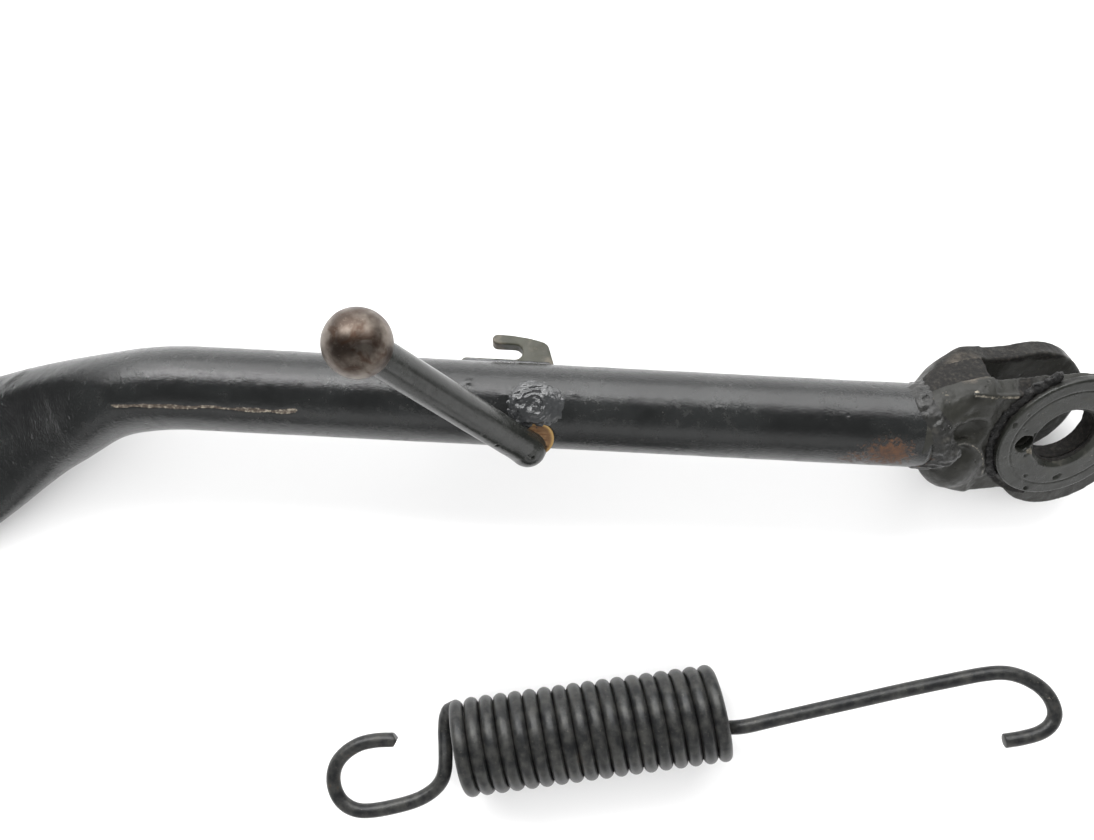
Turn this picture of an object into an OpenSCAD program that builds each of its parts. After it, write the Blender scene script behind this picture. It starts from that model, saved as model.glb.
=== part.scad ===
// Side stand (kickstand) of a motorcycle: bent tube leg, forged pivot yoke,
// heel peg, hook plate and its loose return spring, lying on a flat surface.
// +X runs along the leg towards the yoke, +Z is up from the surface the stand
// lies on, and the origin is the middle of the pivot bore.

/* [Leg tube] */
// Outside diameter of the leg tube
tube_d = 22.2; // [20:0.1:25]
// Wall of the leg tube
tube_wall = 2.8; // [2:0.1:4]
// Where the straight tube ends at the foot bend, measured back from the pivot
bend_x = 227.5; // [215:0.5:240]
// Where the tube butts against the yoke neck, measured back from the pivot
neck_x = 38; // [34:0.5:40]
// Height of the tube's axis above the pivot
tube_z = 8.67; // [7:0.01:10]
// Sideways offset of the tube's axis from the pivot
tube_y = -5.37; // [-7:0.01:-4]

/* [Foot] */
// Half width of the flattened foot at its widest
foot_half_w = 22; // [18:0.5:24]
// Half thickness of the flattened foot
foot_half_t = 4.3; // [3.5:0.1:5]
// Length of the foot past the bend
foot_len = 112; // [106:1:118]
// Sideways run of the swept foot for each millimetre of its length
foot_sweep = 0.5; // [0.4:0.05:0.6]
// Length over which the sweep bends in
sweep_len = 48; // [40:1:56]
// Length over which the foot comes down to the surface
drop_len = 100; // [92:1:102]
// Distance past the bend at which the tube starts to widen
flare_from = 18; // [14:1:22]
// Length over which the tube widens
flare_len = 70; // [60:1:74]
// Distance past the bend at which the tube starts to flatten
crush_from = 10; // [6:1:14]
// Length over which the tube flattens
crush_len = 65; // [55:1:75]
// Length of the rounded tip
tip_len = 20; // [16:1:24]

/* [Yoke] */
// Roll of the pivot axis about the leg
yoke_roll = 39.1; // [35:0.1:43]
// Lean of the pivot axis along the leg
yoke_lean = 12.2; // [9:0.1:15]
// Radius of the pivot bore
bore_r = 8.5; // [7.5:0.1:9]
// Radius of the chamfered mouth of the bore
mouth_r = 9.9; // [9.2:0.1:10.5]
// Width of the slot between the two ears
slot_gap = 8.3; // [7.5:0.1:9]
// Thickness of the near ear
near_ear_t = 5.2; // [4.5:0.1:6]
// Thickness of the far ear
far_ear_t = 6.1; // [5:0.1:6.5]
// Top of the ears above the bore axis
ear_top = 16.2; // [15:0.1:17]
// Bottom of the yoke body below the bore axis
ear_bottom = 18.2; // [17:0.1:19]
// Depth of the slot behind the bore axis
slot_depth = 22.5; // [20:0.5:23.5]

/* [Pivot collar] */
// Radius of the raised collar
collar_r = 19.4; // [18.5:0.1:20]
// Height of the raised collar
collar_h = 2.4; // [2:0.1:3]
// Radius of the blind locating hole
pin_r = 2.5; // [2:0.1:2.7]
// Distance of the locating hole from the bore axis
pin_x = 11.9; // [11.5:0.1:12.5]
// Depth of the locating hole
pin_depth = 5; // [4:0.5:6]

/* [Heel peg] */
// Diameter of the peg's bar
peg_d = 9; // [8:0.1:10]
// Diameter of the ball
ball_d = 16; // [14:0.5:18]

/* [Hook plate] */
// Thickness of the hook plate
tab_t = 4; // [3:0.1:4.5]
// Backward lean of the hook plate
tab_lean = 22; // [15:1:30]

/* [Spring] */
// Diameter of the spring wire
wire_d = 4; // [3.6:0.1:4.1]
// Pitch of the turns
pitch = 4.12; // [4.11:0.01:4.3]
// Number of turns
turns = 18; // [16:1:18]
// Mean radius of the coil
coil_r = 11.3; // [10.5:0.1:12]
// Angle of the spring to the leg
spring_angle = 10.8; // [5:0.1:15]

/* [Hidden] */
$fn = 96;

tube_r = tube_d / 2;
// layers of the yoke along the pivot axis, from the collar's face inwards
n_face = 11;
n_ear = n_face - collar_h;          // near ear, outer face
n_slot = n_ear - near_ear_t;        // near ear, inner face
n_far = n_slot - slot_gap;          // far ear, inner face
n_back = n_far - far_ear_t;         // far ear, outer face
far_c = [-4.45, -0.84];             // centre of the far ear's round end
far_r = 17.6;
floor_z = -19.63;

paint = [0.13, 0.13, 0.13];
bare = [0.42, 0.38, 0.33];
weldc = [0.22, 0.22, 0.21];
springc = [0.2, 0.2, 0.2];

// the foot's shape as rules of s, the distance past the bend
function ease(t) = let(c = min(max(t, 0), 1)) c * c * (3 - 2 * c);
function foot_mid(s) = [-bend_x - s,
    tube_y - (s < sweep_len ? foot_sweep * s * s / (2 * sweep_len)
                            : foot_sweep * (s - sweep_len / 2)),
    tube_z + (floor_z + foot_half_t - 0.8 - tube_z) * ease(s / drop_len)];
function nose(s) = pow(1 - pow(max(0, (s - foot_len + tip_len) / tip_len), 2.5), 0.4);
function foot_w(s) = nose(s) * (tube_r + (foot_half_w - tube_r) * ease((s - flare_from) / flare_len));
function foot_t(s) = pow(nose(s), 0.6)
    * (tube_r + (foot_half_t - tube_r) * ease((s - crush_from) / crush_len));
function foot_sq(s) = 2 + 0.8 * ease((s - crush_from) / crush_len);
foot_stations = concat([for (k = [0:22]) k * (foot_len - tip_len) / 23],
    [for (k = [0:8]) foot_len - tip_len * (1 - sin(10 * k))]);

function unit(v) = v / norm(v);
function arc(c, r, a0, a1) = [for (k = [0:10]) let(a = a0 + (a1 - a0) * k / 10)
    [c[0] + r * cos(a), c[1] + r * sin(a)]];
function sgnpow(v, p) = sign(v) * pow(abs(v), p);

// skin through rings of points, all with the same count, closed at both ends
module skin(rings) {
    n = len(rings);
    m = len(rings[0]);
    polyhedron(
        points = [for (r = rings) for (p = r) p],
        faces = concat(
            [[for (j = [0:m - 1]) j]],
            [for (i = [0:n - 2]) for (j = [0:m - 1])
                [i * m + j, (i + 1) * m + j, (i + 1) * m + (j + 1) % m]],
            [for (i = [0:n - 2]) for (j = [0:m - 1])
                [i * m + j, (i + 1) * m + (j + 1) % m, i * m + (j + 1) % m]],
            [[for (j = [m - 1:-1:0]) (n - 1) * m + j]]),
        convexity = 6);
}

// round wire through points that lie in one flat plane
function wire_ring(pts, i, r, m) =
    let(n = len(pts),
        d = unit(pts[min(i + 1, n - 1)] - pts[max(i - 1, 0)]),
        s = [-d[1], d[0]])
    [for (j = [0:m - 1]) let(a = 360 * j / m)
        [pts[i][0] + s[0] * r * cos(a), pts[i][1] + s[1] * r * cos(a), r * sin(a)]];
module wire(pts, r, m) {
    skin([for (i = [0:len(pts) - 1]) wire_ring(pts, i, r, m)]);
}

module along_x(x0, x1, r) {
    translate([x0, tube_y, tube_z]) rotate([0, 90, 0]) cylinder(h = x1 - x0, r = r);
}
module tube_solid() { along_x(-bend_x - 4, -neck_x + 0, tube_r); }

// places a shape drawn in the yoke's own frame: x towards the ear ends,
// y across the ears, z along the pivot axis
module in_yoke() { rotate([yoke_roll, 0, 0]) rotate([0, yoke_lean, 0]) children(); }
module in_spring() {
    translate([-154.8, -101.2, floor_z + coil_r + wire_d / 2])
        rotate([0, 0, spring_angle]) children();
}
module in_tab() {
    translate([0, tube_y, tube_z]) rotate([-tab_lean, 0, 0]) children();
}

module leg_tube() {
    color(paint) difference() {
        along_x(-bend_x, -neck_x, tube_r);
        along_x(-bend_x - 1, -neck_x + 1, tube_r - tube_wall);
    }
}

// the tube's end, bent, drawn wide and flattened, with a flat sole
module foot() {
    color(paint) difference() {
        skin([for (t = foot_stations) let(
                d = t == 0 ? [-1, 0, 0] : unit(foot_mid(t + 0.5) - foot_mid(t - 0.5)),
                s = unit(cross([0, 0, 1], d)), v = cross(d, s))
            [for (j = [0:31]) let(a = 360 * j / 32, e = 2 / foot_sq(t))
                foot_mid(t) + s * foot_w(t) * sgnpow(cos(a), e) + v * foot_t(t) * sgnpow(sin(a), e)]]);
        // the sole is one flat patch
        translate([-400, -120, floor_z - 20]) cube([200, 140, 20]);
    }
}

module near_outline() {
    translate([-24.5, -ear_bottom]) square([27, ear_top + ear_bottom]);
    translate([2, ear_top - 19.2]) circle(r = 19);
    translate([3.4, -7.4]) circle(r = 18.4);
}
module far_outline() {
    translate([-24.5, -ear_bottom + 0.2]) square([20, ear_top + ear_bottom - 0.2]);
    translate(far_c) circle(r = far_r);
}

module yoke() {
    color(paint) difference() {
        union() {
            in_yoke() {
                translate([0, 0, n_slot]) linear_extrude(near_ear_t) near_outline();
                translate([0, 0, n_back]) linear_extrude(far_ear_t) far_outline();
                translate([-24.5, -ear_bottom + 0.2, n_back])
                    cube([24.5 - slot_depth, ear_top + ear_bottom - 0.2, n_ear - n_back]);
            }
            // neck blended from the round tube to the yoke body
            hull() {
                translate([-neck_x, tube_y, tube_z]) rotate([0, 90, 0])
                    cylinder(h = 1.5, r = tube_r + 0.6, $fn = 32);
                in_yoke() translate([-26.5, -14.4, n_back + 2])
                    cube([2, 28.6, n_ear - n_back - 4]);
                in_yoke() translate([-24.6, -ear_bottom + 0.4, n_back + 0.1])
                    cube([0.6, ear_top + ear_bottom - 0.8, n_ear - n_back - 0.2]);
            }
        }
        in_yoke() {
            translate([0, 0, n_back - 3]) cylinder(h = 30, r = bore_r);
            // rounded closed end of the slot
            translate([-slot_depth, -30, n_far]) cube([60, 60, slot_gap]);
            // sloped top edge of the near ear
            translate([-30, ear_top - 2.2, n_ear]) rotate([-45, 0, 0])
                translate([0, 0, 0]) cube([70, 6, 6]);
            // blind locating hole
            translate([-pin_x, -0.4, n_face - pin_depth]) cylinder(h = 10, r = pin_r);
        }
    }
}

module pivot_collar() {
    color(paint) in_yoke() difference() {
        rotate_extrude() difference() {
            union() {
                translate([bore_r, n_ear]) square([collar_r - bore_r - 1.2, collar_h]);
                translate([collar_r - 1.4, n_ear]) square([1.4, collar_h - 1.2]);
                translate([collar_r - 1.2, n_face - 1.2]) circle(r = 1.2);
            }
            polygon([[bore_r - 1, n_face + 1], [mouth_r + 1, n_face + 1],
                     [mouth_r, n_face], [bore_r, n_face - 1.4], [bore_r - 1, n_face - 1.4]]);
        }
        translate([-pin_x, -0.4, n_face - pin_depth]) cylinder(h = 10, r = pin_r);
    }
}

// bead round the butt joint of tube and neck
module yoke_weld() {
    color(weldc) translate([-neck_x - 0.4, tube_y, tube_z]) rotate([0, 90, 0])
        rotate_extrude() translate([tube_r + 0.2, 0]) circle(r = 1.8, $fn = 24);
}

// bead in the corner between the neck and the collar
module collar_weld() {
    color(weldc) in_yoke() translate([0, 0, n_ear + 0.6]) rotate([0, 0, 118])
        rotate_extrude(angle = 96) translate([collar_r + 0.5, 0]) circle(r = 1.6, $fn = 24);
}

peg_root = [-140, -16.7, 16.5];
peg_tip = [-177.8, 5.7, 60.9];
peg_saw = [-137.85, -14, 17.6];
peg_saw_in = [-137.85, -11.3, 10.2];

// turns +Z onto the direction from a to b
module aimed(a, b) {
    v = b - a;
    rotate([0, 0, atan2(v[1], v[0])]) rotate([0, acos(v[2] / norm(v)), 0]) children();
}
module rod(a, b, r) {
    translate(a) aimed(a, b) cylinder(h = norm(b - a), r = r);
}

module peg_rod() {
    color(paint) difference() {
        union() {
            rod(peg_root, peg_tip, peg_d / 2);
            translate(peg_root) sphere(r = peg_d / 2);
            rod(peg_saw_in, peg_saw, peg_d / 2);
        }
        tube_solid();
    }
}

module peg_ball() {
    color(bare) translate(peg_tip) aimed(peg_root, peg_tip) difference() {
        sphere(r = ball_d / 2);
        translate([0, 0, -ball_d]) cylinder(h = ball_d, r = peg_d / 2);
    }
}

// plug weld on the tube beside the peg's root
module peg_weld() {
    color(weldc) difference() {
        union() {
            translate([-138.6, -5.2, tube_z + tube_r - 4.6]) sphere(r = 6.9);
            translate([-141.6, -10.6, tube_z + tube_r - 4.4]) sphere(r = 4.2);
        }
        tube_solid();
        rod(peg_root, peg_tip, peg_d / 2);
        rod(peg_saw_in, peg_saw, peg_d / 2);
    }
}

// hook plate that the return spring hooks onto; it stands edge-on on the tube
module spring_tab() {
    color(paint) difference() {
        in_tab() translate([0, 0, -tab_t / 2]) linear_extrude(tab_t) polygon(concat(
            [[-159.3, 9]], arc([-157.6, 10.6], 1.7, 180, 90),
            arc([-145, 14.45], 2.15, -90, 90), arc([-149.7, 18.05], 1.45, 270, 90),
            [[-145.7, 19.35], [-140.8, 18.7]], arc([-138.5, 15.1], 2.9, 75, 10),
            [[-134.3, 11.3], [-134.1, 9]]));
        tube_solid();
    }
}

// fillet beads along both sides of the hook plate's foot
module tab_weld() {
    color(weldc) difference() {
        in_tab() for (s = [-1, 1]) translate([-157, 10.6, s * tab_t / 2])
            rotate([0, 90, 0]) {
                cylinder(h = 20.5, r = 1.7, $fn = 24);
                sphere(r = 1.7, $fn = 24);
                translate([0, 0, 20.5]) sphere(r = 1.7, $fn = 24);
            }
        tube_solid();
        in_tab() translate([-165, 0, -tab_t / 2]) cube([40, 30, tab_t]);
    }
}

coil_s0 = 0.45;   // station of the first turn's wire centre

module spring_coil() {
    color(springc) in_spring() translate([coil_s0, 0, 0]) rotate([0, 90, 0]) rotate_extrude()
        union() {
            for (i = [0:turns - 1]) translate([coil_r, i * pitch]) circle(r = wire_d / 2, $fn = 32);
            translate([coil_r - 0.8, 0]) square([1.6, (turns - 1) * pitch]);
        }
}

// each hook is a wire bent in plain arcs, with straight runs between them
short_pts = concat([[-3.4, 6], [-3.8, 1]], arc([-13.2, -4.6], 9.1, 0, -80),
    arc([-26.4, -4.7], 9.5, -90, -240), [[-18.2, 4.8]]);
long_pts = concat([[75, 5], [75, 1]], arc([78, -2], 3, 180, 274), [[112, -2.1]],
    arc([149, -15.1], 15.8, 94.5, 12), arc([159.2, -13], 5.4, 0, -88), [[150.2, -18.6]]);

module spring_short_hook() { color(springc) in_spring() wire(short_pts, wire_d / 2, 12); }
module spring_long_hook() { color(springc) in_spring() wire(long_pts, wire_d / 2, 12); }

leg_tube();
foot();
yoke();
pivot_collar();
yoke_weld();
collar_weld();
peg_rod();
peg_ball();
peg_weld();
spring_tab();
tab_weld();
spring_coil();
spring_short_hook();
spring_long_hook();
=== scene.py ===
import bpy, math
import numpy as np
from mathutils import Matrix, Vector


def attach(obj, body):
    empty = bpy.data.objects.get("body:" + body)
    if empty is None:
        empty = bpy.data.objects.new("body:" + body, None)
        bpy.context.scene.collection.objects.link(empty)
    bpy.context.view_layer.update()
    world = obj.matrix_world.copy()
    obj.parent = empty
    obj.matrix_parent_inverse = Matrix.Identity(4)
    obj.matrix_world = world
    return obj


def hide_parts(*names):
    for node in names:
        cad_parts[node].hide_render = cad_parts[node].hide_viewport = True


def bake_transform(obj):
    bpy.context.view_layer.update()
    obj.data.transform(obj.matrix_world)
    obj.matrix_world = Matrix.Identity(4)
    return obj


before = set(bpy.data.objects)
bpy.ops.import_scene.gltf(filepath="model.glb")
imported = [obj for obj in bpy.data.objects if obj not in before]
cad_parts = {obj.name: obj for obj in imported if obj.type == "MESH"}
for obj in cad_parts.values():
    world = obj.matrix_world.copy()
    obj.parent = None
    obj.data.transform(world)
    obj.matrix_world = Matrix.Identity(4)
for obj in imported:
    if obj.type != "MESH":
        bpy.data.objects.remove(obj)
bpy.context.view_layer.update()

MM = 0.001
FLOOR = -19.63          # mm, the surface the stand lies on
TUBE_Y, TUBE_Z, TUBE_R = -5.37, 8.67, 11.1
NECK_X, BEND_X = -38.0, -227.5
LEAN, ROLL = math.radians(12.2), math.radians(39.1)
YN = np.array([math.sin(LEAN), -math.sin(ROLL) * math.cos(LEAN), math.cos(ROLL) * math.cos(LEAN)])
YL = np.array([math.cos(LEAN), math.sin(ROLL) * math.sin(LEAN), -math.cos(ROLL) * math.sin(LEAN)])
YW = np.array([0.0, math.cos(ROLL), math.sin(ROLL)])
N_FACE = 11.0; N_EAR = 8.6; N_SLOT = 3.4; N_FAR = -4.9; N_BACK = -11.0
BORE = 8.5


# ---------------------------------------------------------------- noise and fields (millimetres)
def _hash(ix, iy, iz, seed):
    h = (ix * 374761393 + iy * 668265263 + iz * 1274126177 + seed * 974711) & 0xFFFFFFFF
    h = ((h ^ (h >> 13)) * 1274126177) & 0xFFFFFFFF
    h = (h ^ (h >> 16)) & 0xFFFF
    return h / 32767.5 - 1.0


def noise(p, scale, seed=0):
    """Smooth value noise, about -1 to 1, with features of the given size."""
    q = p / scale
    i = np.floor(q).astype(np.int64)
    t = q - i
    t = t * t * t * (t * (t * 6 - 15) + 10)
    out = 0.0
    for dx in (0, 1):
        for dy in (0, 1):
            for dz in (0, 1):
                w = (t[..., 0] if dx else 1 - t[..., 0]) * (t[..., 1] if dy else 1 - t[..., 1]) * (t[..., 2] if dz else 1 - t[..., 2])
                out = out + w * _hash(i[..., 0] + dx, i[..., 1] + dy, i[..., 2] + dz, seed)
    return out


def fbm(p, scale, seed=0, octaves=3):
    s, a = 0.0, 1.0
    for k in range(octaves):
        s = s + a * noise(p, scale / 2 ** k, seed + 17 * k)
        a *= 0.5
    return s / 1.75


def smin(a, b, k):
    h = np.clip(0.5 + 0.5 * (b - a) / k, 0, 1)
    return b + (a - b) * h - k * h * (1 - h)


def smax(a, b, k):
    return -smin(-a, -b, k)


def length(*c):
    return np.sqrt(sum(x * x for x in c))


def slab(v, lo, hi):
    return np.maximum(lo - v, v - hi)


def rbox2(x, y, cx, cy, hx, hy, r):
    qx = np.abs(x - cx) - hx + r
    qy = np.abs(y - cy) - hy + r
    return length(np.maximum(qx, 0), np.maximum(qy, 0)) + np.minimum(np.maximum(qx, qy), 0) - r


def extrude(d2, n, lo, hi, r):
    """2-D distance d2 between two levels of n, with edges rounded by r."""
    a, b = d2 + r, slab(n, lo + r, hi - r)
    return length(np.maximum(a, 0), np.maximum(b, 0)) + np.minimum(np.maximum(a, b), 0) - r


def capsule(p, a, b, r):
    a, b = np.asarray(a, float), np.asarray(b, float)
    d = b - a
    t = np.clip(((p - a) @ d) / (d @ d), 0, 1)
    return np.linalg.norm(p - a - t[..., None] * d, axis=-1) - r


def drop_crumbs(v, faces, part=0.1):
    """Keeps only the pieces of a mesh that hold at least a tenth of its points."""
    lab = np.arange(len(v))
    e = np.concatenate([faces[:, [k, (k + 1) % 4]] for k in range(4)])
    while True:
        old = lab.copy()
        m = np.minimum(lab[e[:, 0]], lab[e[:, 1]])
        np.minimum.at(lab, e[:, 0], m)
        np.minimum.at(lab, e[:, 1], m)
        lab = lab[lab]
        if (lab == old).all():
            break
    ids, inv, cnt = np.unique(lab, return_inverse=True, return_counts=True)
    keep = (cnt >= part * len(v))[inv]
    new = np.cumsum(keep) - 1
    return v[keep], new[faces[keep[faces[:, 0]]]]


def surface_nets(f, lo, hi, h):
    """Closed quad mesh of the field f(p) = 0 on a grid of pitch h, vertices moved onto the true surface."""
    lo, hi = np.array(lo, float), np.array(hi, float)
    n = np.ceil((hi - lo) / h).astype(int) + 1
    axes = [lo[k] + h * np.arange(n[k]) for k in range(3)]
    val = np.empty(n)
    step = max(1, int(400000 // (n[1] * n[2])))
    for i in range(0, n[0], step):
        g = np.stack(np.meshgrid(axes[0][i:i + step], axes[1], axes[2], indexing="ij"), -1)
        val[i:i + step] = f(g)
    # nothing may run out of the grid
    for ax in range(3):
        for k in (0, -1):
            e = [slice(None)] * 3; e[ax] = k
            val[tuple(e)] = np.maximum(val[tuple(e)], 0.05)
    inside = val < 0
    c = [slice(None, -1), slice(1, None)]
    corners = [(a, b, d) for a in (0, 1) for b in (0, 1) for d in (0, 1)]
    count = sum(inside[c[a], c[b], c[d]].astype(np.int8) for a, b, d in corners)
    act = (count > 0) & (count < 8)
    idx = -np.ones(act.shape, np.int64)
    cells = np.argwhere(act)
    idx[act] = np.arange(len(cells))
    acc = np.zeros((len(cells), 3)); cnt = np.zeros(len(cells))
    for a in corners:
        for ax in range(3):
            if a[ax]:
                continue
            b = list(a); b[ax] = 1
            va = val[tuple((cells + a).T)]; vb = val[tuple((cells + b).T)]
            cross = (va < 0) != (vb < 0)
            t = np.where(cross, va / np.where(cross, va - vb, 1), 0)
            pt = np.array(a, float)[None] + np.eye(3)[ax] * t[:, None]
            acc[cross] += pt[cross]; cnt[cross] += 1
    v = lo + h * (cells + acc / cnt[:, None])
    faces = []
    for ax in range(3):
        o1, o2 = [k for k in range(3) if k != ax]
        s0 = [slice(None)] * 3; s1 = [slice(None)] * 3
        s0[ax] = slice(None, -1); s1[ax] = slice(1, None)
        ia, ib = inside[tuple(s0)], inside[tuple(s1)]
        e = np.argwhere(ia != ib)
        ok = (e[:, o1] > 0) & (e[:, o2] > 0) & (e[:, o1] < n[o1] - 1) & (e[:, o2] < n[o2] - 1)
        e = e[ok]
        sign = ia[tuple(e.T)]
        quad = []
        for da, db in ((1, 1), (0, 1), (0, 0), (1, 0)):
            q = e.copy(); q[:, o1] -= da; q[:, o2] -= db
            quad.append(idx[tuple(q.T)])
        quad = np.stack(quad, 1)
        flip = sign if ax != 1 else ~sign
        quad[~flip] = quad[~flip][:, ::-1]
        faces.append(quad)
    faces = np.concatenate(faces)
    v, faces = drop_crumbs(v, faces)
    for _ in range(2):
        e = 0.02
        g = np.stack([(f(v + np.eye(3)[k] * e) - f(v - np.eye(3)[k] * e)) / (2 * e) for k in range(3)], -1)
        g2 = np.maximum((g * g).sum(-1), 0.2)
        v = v - np.clip(f(v) / g2, -h * 0.6, h * 0.6)[:, None] * g
    return v, faces


def mesh_object(name, verts, faces, body, node_names=(), mat=None, attrs=None, smooth=True):
    me = bpy.data.meshes.new(name)
    verts = np.asarray(verts, float) * MM
    me.from_pydata(verts.tolist(), [], [list(map(int, f)) for f in faces])
    me.validate()
    if smooth:
        me.polygons.foreach_set("use_smooth", [True] * len(me.polygons))
    me.update()
    for k, a in (attrs or {}).items():
        at = me.attributes.new(k, "FLOAT", "POINT")
        at.data.foreach_set("value", np.asarray(a, np.float32))
    ob = bpy.data.objects.new(name, me)
    bpy.context.scene.collection.objects.link(ob)
    if mat:
        me.materials.append(mat)
    if body:
        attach(ob, body)
    if node_names:
        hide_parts(*node_names)
    return ob


def tube_mesh(rings, closed_ends=True):
    """Quads through rings, each an (m, 3) array."""
    R = np.asarray(rings)
    n, m = R.shape[:2]
    v = R.reshape(-1, 3)
    j = np.arange(m)
    faces = []
    for i in range(n - 1):
        a = i * m + j; b = i * m + (j + 1) % m
        faces += np.stack([a, b, b + m, a + m], 1).tolist()
    if closed_ends:
        faces.append(list(range(m))[::-1])
        faces.append([(n - 1) * m + k for k in range(m)])
    return v, faces


def sweep(pts, r, sides, up=(0, 0, 1), radii=None, caps=3):
    """Rings of a round bar along points, and its direction at each point."""
    pts = np.asarray(pts, float)
    n = len(pts)
    rr = np.full(n, r) if radii is None else np.asarray(radii, float)
    T = np.gradient(pts, axis=0)
    T /= np.linalg.norm(T, axis=1)[:, None]
    u = np.cross(T[0], up); u /= np.linalg.norm(u)
    rings = []
    a = np.arange(sides) * 2 * math.pi / sides
    for i in range(n):
        u = u - (u @ T[i]) * T[i]; u /= np.linalg.norm(u)
        w = np.cross(T[i], u)
        rings.append(pts[i] + rr[i] * (np.cos(a)[:, None] * u + np.sin(a)[:, None] * w))
    return rings, T


# ---------------------------------------------------------------- materials
def nodes_of(name):
    m = bpy.data.materials.new(name)
    m.use_nodes = True
    nt = m.node_tree
    nt.nodes.clear()
    out = nt.nodes.new("ShaderNodeOutputMaterial")
    b = nt.nodes.new("ShaderNodeBsdfPrincipled")
    nt.links.new(b.outputs[0], out.inputs[0])
    return m, nt, b


class G:
    """Small helper that wires shader nodes."""

    def __init__(self, nt):
        self.nt = nt
        self.tc = nt.nodes.new("ShaderNodeTexCoord").outputs["Object"]

    def set(self, node, socket, v):
        if isinstance(v, bpy.types.NodeSocket):
            self.nt.links.new(v, node.inputs[socket])
        else:
            node.inputs[socket].default_value = v

    def math(self, op, a, b=0.0, c=0.0, clamp=False):
        n = self.nt.nodes.new("ShaderNodeMath"); n.operation = op; n.use_clamp = clamp
        self.set(n, 0, a); self.set(n, 1, b)
        if op in ("MULTIPLY_ADD", "SMOOTH_MIN", "COMPARE"):
            self.set(n, 2, c)
        return n.outputs[0]

    def noise(self, scale, detail=4, rough=0.55, dist=0.0, vec=None, stretch=None):
        n = self.nt.nodes.new("ShaderNodeTexNoise")
        n.inputs["Scale"].default_value = scale
        n.inputs["Detail"].default_value = detail
        n.inputs["Roughness"].default_value = rough
        n.inputs["Distortion"].default_value = dist
        v = vec or self.tc
        if stretch:
            mp = self.nt.nodes.new("ShaderNodeMapping")
            mp.inputs["Scale"].default_value = stretch
            self.nt.links.new(v, mp.inputs[0]); v = mp.outputs[0]
        self.nt.links.new(v, n.inputs["Vector"])
        return n.outputs["Fac"]

    def voronoi(self, scale, feature="F1", vec=None, rand=1.0):
        n = self.nt.nodes.new("ShaderNodeTexVoronoi"); n.feature = feature
        n.inputs["Scale"].default_value = scale
        n.inputs["Randomness"].default_value = rand
        self.nt.links.new(vec or self.tc, n.inputs["Vector"])
        return n.outputs["Distance"]

    def ramp(self, f, lo, hi, a=0.0, b=1.0):
        n = self.nt.nodes.new("ShaderNodeMapRange")
        n.interpolation_type = "SMOOTHSTEP"
        self.set(n, "Value", f)
        n.inputs["From Min"].default_value = lo; n.inputs["From Max"].default_value = hi
        n.inputs["To Min"].default_value = a; n.inputs["To Max"].default_value = b
        return n.outputs[0]

    def mix(self, f, a, b):
        n = self.nt.nodes.new("ShaderNodeMix"); n.data_type = "RGBA"
        self.set(n, "Factor", f)
        for sock, v in ((6, a), (7, b)):
            if isinstance(v, bpy.types.NodeSocket):
                self.nt.links.new(v, n.inputs[sock])
            else:
                n.inputs[sock].default_value = (*v, 1)
        return n.outputs[2]

    def mixf(self, f, a, b):
        n = self.nt.nodes.new("ShaderNodeMix"); n.data_type = "FLOAT"
        self.set(n, 0, f); self.set(n, 2, a); self.set(n, 3, b)
        return n.outputs[0]

    def attr(self, name):
        n = self.nt.nodes.new("ShaderNodeAttribute"); n.attribute_name = name
        return n.outputs["Fac"]

    def bump(self, h, strength, dist, normal=None):
        n = self.nt.nodes.new("ShaderNodeBump")
        n.inputs["Strength"].default_value = strength
        n.inputs["Distance"].default_value = dist
        self.nt.links.new(h, n.inputs["Height"])
        if normal is not None:
            self.nt.links.new(normal, n.inputs["Normal"])
        return n.outputs[0]


def srgb(r, g, b):
    f = lambda c: ((c / 255) / 12.92) if c / 255 <= 0.04045 else (((c / 255) + 0.055) / 1.055) ** 2.4
    return (f(r), f(g), f(b))


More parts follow.
